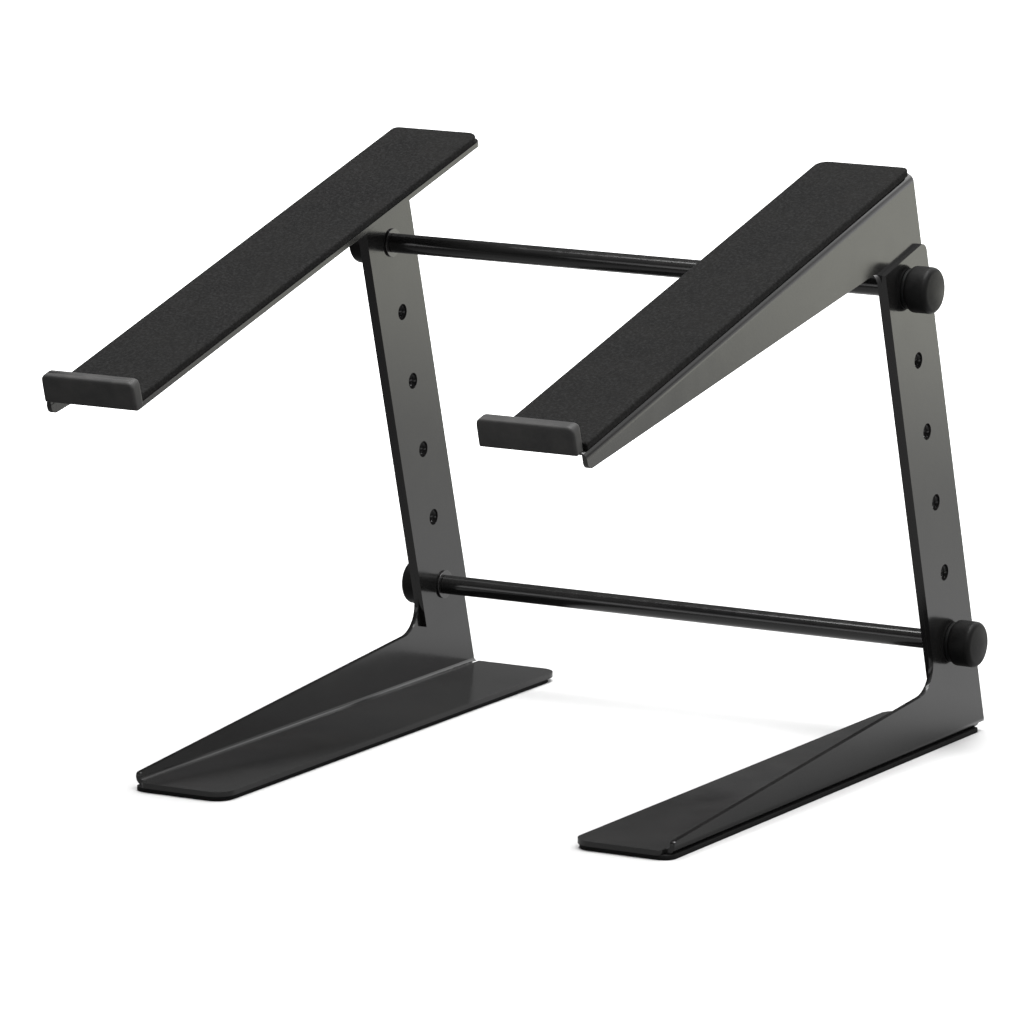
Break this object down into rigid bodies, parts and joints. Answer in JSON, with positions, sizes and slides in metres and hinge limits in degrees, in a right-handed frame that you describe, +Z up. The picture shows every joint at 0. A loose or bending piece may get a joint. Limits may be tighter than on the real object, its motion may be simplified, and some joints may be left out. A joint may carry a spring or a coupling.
{
  "type": "laptop stand",
  "caption": "Open folded-steel stand whose foam-topped arms hold a laptop or DJ controller at a slope; thumb knobs clamp the arms to the base.",
  "frame": {"origin": "centre of the bounding box on the floor plane under the feet", "axes": "+X to the stand's right seen from the front, -Y towards the user and the low front lips, +Z up; the trays rise towards +Y"},
  "size_m": [0.3194, 0.3934, 0.2859],
  "materials": {
    "black_powder_coat": "satin",
    "gloss_black_paint": "gloss",
    "dark_foam": "matte",
    "lip_rubber": "satin",
    "foot_rubber": "matte",
    "knob_plastic": "satin",
    "black_nylon": "satin",
    "zinc_plated_steel": "satin"
  },
  "bodies": {
    "stand": {"base_bracket_left": "black_powder_coat", "arm_bracket_left": "black_powder_coat", "arm_pad_left": "dark_foam", "lip_cap_left": "lip_rubber", "foot_pad_left": "foot_rubber", "base_bracket_right": "black_powder_coat", "arm_bracket_right": "black_powder_coat", "arm_pad_right": "dark_foam", "lip_cap_right": "lip_rubber", "foot_pad_right": "foot_rubber", "lower_crossbar": "gloss_black_paint", "lower_bar_washer_left": "gloss_black_paint", "lower_bar_washer_right": "gloss_black_paint", "upper_crossbar": "gloss_black_paint", "upper_bar_washer_left": "gloss_black_paint", "upper_bar_washer_right": "gloss_black_paint"},
    "lower_washer_left": {"lower_knob_washer_left": "black_nylon"},
    "lower_clamp_knob_left": {"lower_knob_left": "knob_plastic", "lower_stud_left": "zinc_plated_steel"},
    "lower_washer_right": {"lower_knob_washer_right": "black_nylon"},
    "lower_clamp_knob_right": {"lower_knob_right": "knob_plastic", "lower_stud_right": "zinc_plated_steel"},
    "upper_washer_left": {"upper_knob_washer_left": "black_nylon"},
    "upper_clamp_knob_left": {"upper_knob_left": "knob_plastic", "upper_stud_left": "zinc_plated_steel"},
    "upper_washer_right": {"upper_knob_washer_right": "black_nylon"},
    "upper_clamp_knob_right": {"upper_knob_right": "knob_plastic", "upper_stud_right": "zinc_plated_steel"}
  },
  "joints": [
    {"name": "lower_left_back_off", "type": "slide", "parent": "stand", "child": "lower_washer_left", "axis": [-1, 0, 0], "range_m": [0, 0.01]},
    {"name": "lower_left_knob_turn", "type": "hinge", "parent": "lower_washer_left", "child": "lower_clamp_knob_left", "pos_m": [-0.14655, 0.1627, 0.05], "axis": [-1, 0, 0], "range_deg": [0, 3600]},
    {"name": "lower_right_back_off", "type": "slide", "parent": "stand", "child": "lower_washer_right", "axis": [1, 0, 0], "range_m": [0, 0.01]},
    {"name": "lower_right_knob_turn", "type": "hinge", "parent": "lower_washer_right", "child": "lower_clamp_knob_right", "pos_m": [0.14655, 0.1627, 0.05], "axis": [1, 0, 0], "range_deg": [0, 3600]},
    {"name": "upper_left_back_off", "type": "slide", "parent": "stand", "child": "upper_washer_left", "axis": [-1, 0, 0], "range_m": [0, 0.01]},
    {"name": "upper_left_knob_turn", "type": "hinge", "parent": "upper_washer_left", "child": "upper_clamp_knob_left", "pos_m": [-0.14655, 0.11469, 0.22918], "axis": [-1, 0, 0], "range_deg": [0, 3600]},
    {"name": "upper_right_back_off", "type": "slide", "parent": "stand", "child": "upper_washer_right", "axis": [1, 0, 0], "range_m": [0, 0.01]},
    {"name": "upper_right_knob_turn", "type": "hinge", "parent": "upper_washer_right", "child": "upper_clamp_knob_right", "pos_m": [0.14655, 0.11469, 0.22918], "axis": [1, 0, 0], "range_deg": [0, 3600]}
  ],
  "couplings": [
    {"joint": "lower_left_back_off", "follows": "lower_left_knob_turn", "m_per_rad": 0.00015915},
    {"joint": "lower_right_back_off", "follows": "lower_right_knob_turn", "m_per_rad": 0.00015915},
    {"joint": "upper_left_back_off", "follows": "upper_left_knob_turn", "m_per_rad": 0.00015915},
    {"joint": "upper_right_back_off", "follows": "upper_right_knob_turn", "m_per_rad": 0.00015915}
  ]
}
